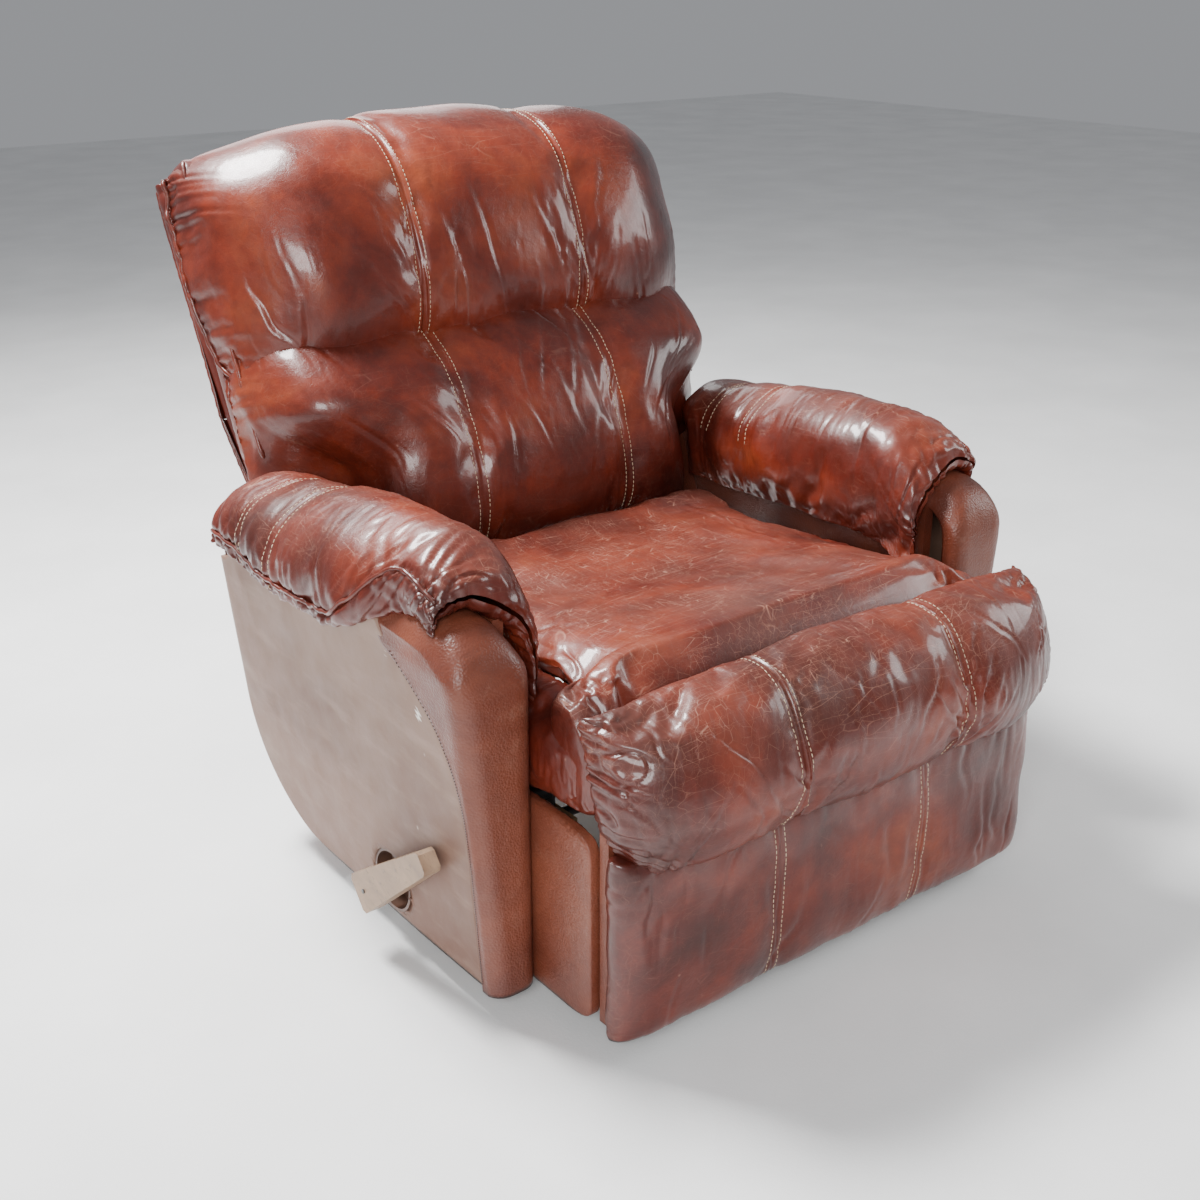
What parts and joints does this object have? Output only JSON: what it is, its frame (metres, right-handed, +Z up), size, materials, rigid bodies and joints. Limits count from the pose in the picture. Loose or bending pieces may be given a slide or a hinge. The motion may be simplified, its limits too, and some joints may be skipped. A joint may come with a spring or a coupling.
{
  "type": "recliner armchair",
  "caption": "Overstuffed brown leather rocking recliner with a wooden side lever, fold-out padded leg rest, reclining pillow back and padded arms.",
  "frame": {"origin": "on the floor under the middle of the closed, upright chair's bounding box", "axes": "the front faces -Y, +X is the right-hand side seen from the front (the sitter's left), +Z up"},
  "size_m": [1.002, 1.0834, 1.0075],
  "materials": {
    "frame_timber": "sawn hardwood and plywood",
    "lever_timber": "light varnished hardwood, worn",
    "pillow_leather": "glossy antiqued red-brown, scratched",
    "facing_leather": "pebble grain, brown",
    "panel_leather": "smooth taupe-brown, lightly scuffed",
    "back_leather": "smooth brown",
    "mechanism_steel": "zinc-plated, dull",
    "spring_wire": "oiled spring wire",
    "cup_plastic": "moulded brown",
    "black_plastic": "moulded black"
  },
  "bodies": {
    "floor_base": {"base_rails": "frame_timber", "base_crossbars": "frame_timber", "floor_glides": "black_plastic", "rocker_springs": "spring_wire", "spring_seats": "mechanism_steel"},
    "chair_frame": {"rocker_cams": "frame_timber", "frame_side_rails": "frame_timber", "frame_cross_rails": "frame_timber", "cam_plates": "mechanism_steel", "spring_caps": "mechanism_steel", "inner_panel_left": "frame_timber", "inner_panel_right": "frame_timber", "arm_posts": "frame_timber", "arm_top_rails": "frame_timber", "side_panel_left": "panel_leather", "side_panel_right": "panel_leather", "arm_facing_left": "facing_leather", "arm_facing_right": "facing_leather", "arm_pillow_left": "pillow_leather", "arm_pillow_right": "pillow_leather", "front_cheek_left": "pillow_leather", "front_cheek_right": "pillow_leather", "mechanism_plates": "mechanism_steel", "plate_spacers": "mechanism_steel", "seat_rests": "mechanism_steel", "handle_cup": "cup_plastic", "shaft_bushes": "black_plastic", "link_pivot_pins": "mechanism_steel", "back_pivot_pins": "mechanism_steel", "seat_pivot_pins": "mechanism_steel"},
    "lever_shaft": {"lever": "lever_timber", "lever_bolt": "mechanism_steel", "drive_shaft": "mechanism_steel", "drive_cranks": "mechanism_steel", "crank_pins": "mechanism_steel"},
    "drive_bar_pair": {"drive_bars": "mechanism_steel"},
    "swing_link_pair": {"swing_links": "mechanism_steel", "tail_pins": "mechanism_steel", "elbow_pins": "mechanism_steel"},
    "carrier_link_pair": {"carrier_links": "mechanism_steel", "carrier_pins": "mechanism_steel"},
    "legrest": {"legrest_board": "frame_timber", "legrest_brackets": "mechanism_steel", "legrest_panel": "pillow_leather", "legrest_pillow": "pillow_leather"},
    "seat": {"seat_side_rails": "frame_timber", "seat_cross_rails": "frame_timber", "seat_springs": "spring_wire", "seat_cushion": "pillow_leather", "seat_front_roll": "pillow_leather"},
    "backrest": {"back_brackets": "mechanism_steel", "back_uprights": "frame_timber", "back_rails": "frame_timber", "back_springs": "spring_wire", "back_wing_left": "pillow_leather", "back_wing_right": "pillow_leather", "back_outer_cover": "back_leather", "back_pillow": "pillow_leather", "headrest_pillow": "pillow_leather"}
  },
  "joints": [
    {"name": "rock", "type": "hinge", "parent": "floor_base", "child": "chair_frame", "pos_m": [0, 0, 0.45], "axis": [-1, 0, 0], "range_deg": [-3, 8], "stiffness_Nm_per_rad": 600, "deforming": ["rocker_springs"]},
    {"name": "legrest_swing", "type": "hinge", "parent": "chair_frame", "child": "swing_link_pair", "pos_m": [0, -0.262, 0.3], "axis": [-1, 0, 0], "range_deg": [0, 85.2]},
    {"name": "elbow_fold", "type": "hinge", "parent": "swing_link_pair", "child": "carrier_link_pair", "pos_m": [0, -0.24191, 0.08594], "axis": [1, 0, 0], "range_deg": [0, 101.2]},
    {"name": "legrest_turn", "type": "hinge", "parent": "carrier_link_pair", "child": "legrest", "pos_m": [0, -0.41, 0.22], "axis": [-1, 0, 0], "range_deg": [0, 106]},
    {"name": "lever_turn", "type": "hinge", "parent": "chair_frame", "child": "lever_shaft", "pos_m": [0, -0.106, 0.097], "axis": [-1, 0, 0], "range_deg": [0, 85.2]},
    {"name": "drive_bar_turn", "type": "hinge", "parent": "lever_shaft", "child": "drive_bar_pair", "pos_m": [0, -0.1102, 0.1418], "axis": [1, 0, 0], "range_deg": [0, 85.2]},
    {"name": "back_recline", "type": "hinge", "parent": "chair_frame", "child": "backrest", "pos_m": [0, 0.16, 0.3], "axis": [-1, 0, 0], "range_deg": [0, 35]},
    {"name": "seat_tilt", "type": "hinge", "parent": "chair_frame", "child": "seat", "pos_m": [0, 0.062, 0.348], "axis": [-1, 0, 0], "range_deg": [0, 3.6]}
  ],
  "couplings": [
    {"joint": "elbow_fold", "follows": "legrest_swing", "ratio": 1.1866},
    {"joint": "legrest_turn", "follows": "legrest_swing", "ratio": 1.243},
    {"joint": "lever_turn", "follows": "legrest_swing", "ratio": 1},
    {"joint": "drive_bar_turn", "follows": "legrest_swing", "ratio": 1},
    {"joint": "seat_tilt", "follows": "back_recline", "ratio": 0.1}
  ]
}
